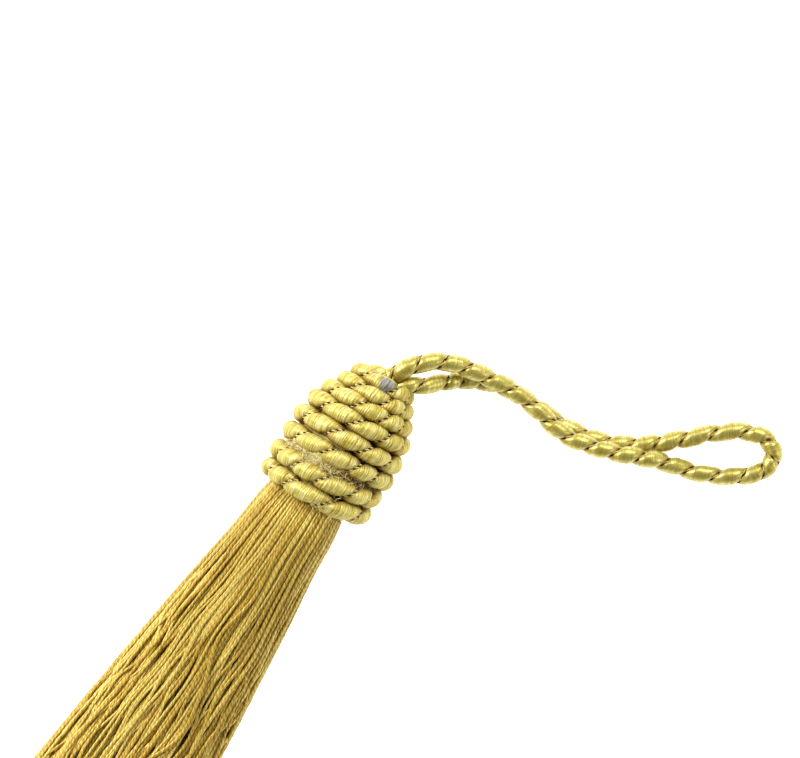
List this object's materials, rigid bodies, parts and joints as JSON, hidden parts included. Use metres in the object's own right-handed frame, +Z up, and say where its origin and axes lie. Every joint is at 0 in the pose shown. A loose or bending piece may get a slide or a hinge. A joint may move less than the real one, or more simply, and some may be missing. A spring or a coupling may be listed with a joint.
{
  "type": "silk tassel",
  "caption": "Tassel with a beehive head wound from thick gimp cord, a twisted hanging loop of the same cord, and a skirt of cut yarns, lying on a surface.",
  "frame": {"origin": "the flat spot under the head's widest turns, on the surface that the tassel lies on", "axes": "+X along the head from the skirt to the loop, +Z up from the surface"},
  "size_m": [0.0923, 0.0576, 0.0147],
  "materials": {
    "gimp_cord": "silky gold gimp, wrapped across, pinched by a thin black and gold thread",
    "skirt_yarn": "silky golden yarn, softly twisted"
  },
  "bodies": {
    "root": {"head_winding": "gimp_cord", "hanging_loop": "gimp_cord", "skirt": "skirt_yarn"}
  },
  "joints": []
}
